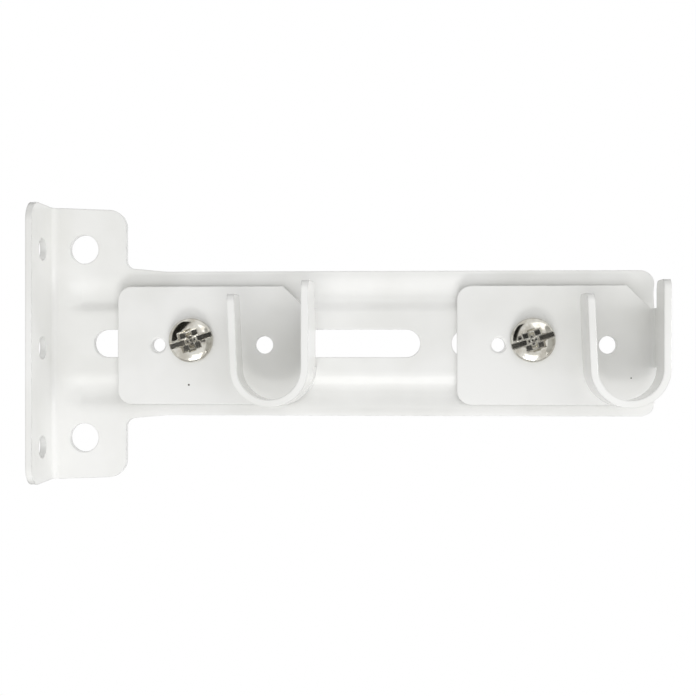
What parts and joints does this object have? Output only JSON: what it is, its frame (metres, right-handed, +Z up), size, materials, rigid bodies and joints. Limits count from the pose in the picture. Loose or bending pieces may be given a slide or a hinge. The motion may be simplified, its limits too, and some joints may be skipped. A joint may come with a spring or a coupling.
{
  "type": "double wall bracket",
  "caption": "Wall bracket for two curtain poles: a slotted, ribbed sheet arm on a wall flange, with two sliding cup carriers clamped by screws.",
  "frame": {"origin": "on the wall face, on the axis of the middle wall hole", "axes": "+X away from the wall along the arm, +Z up in use, so that the cups open upward, and -Y to the side that carries the cups"},
  "size_m": [0.161, 0.025, 0.072],
  "materials": {
    "white_coat": "white powder coat, satin",
    "nickel_plate": "bright nickel plate",
    "zinc_plate": "zinc plated steel"
  },
  "bodies": {
    "bracket": {"wall_bracket": "white_coat"},
    "rear_cup_group": {"rear_carrier": "white_coat", "rear_screw": "nickel_plate", "rear_nut": "zinc_plate"},
    "front_cup_group": {"front_carrier": "white_coat", "front_screw": "nickel_plate", "front_nut": "zinc_plate"}
  },
  "joints": [
    {"name": "rear_slide", "type": "slide", "parent": "bracket", "child": "rear_cup_group", "axis": [1, 0, 0], "range_m": [-0.014, 0.027]},
    {"name": "front_slide", "type": "slide", "parent": "bracket", "child": "front_cup_group", "axis": [1, 0, 0], "range_m": [-0.0085, 0.022]}
  ]
}
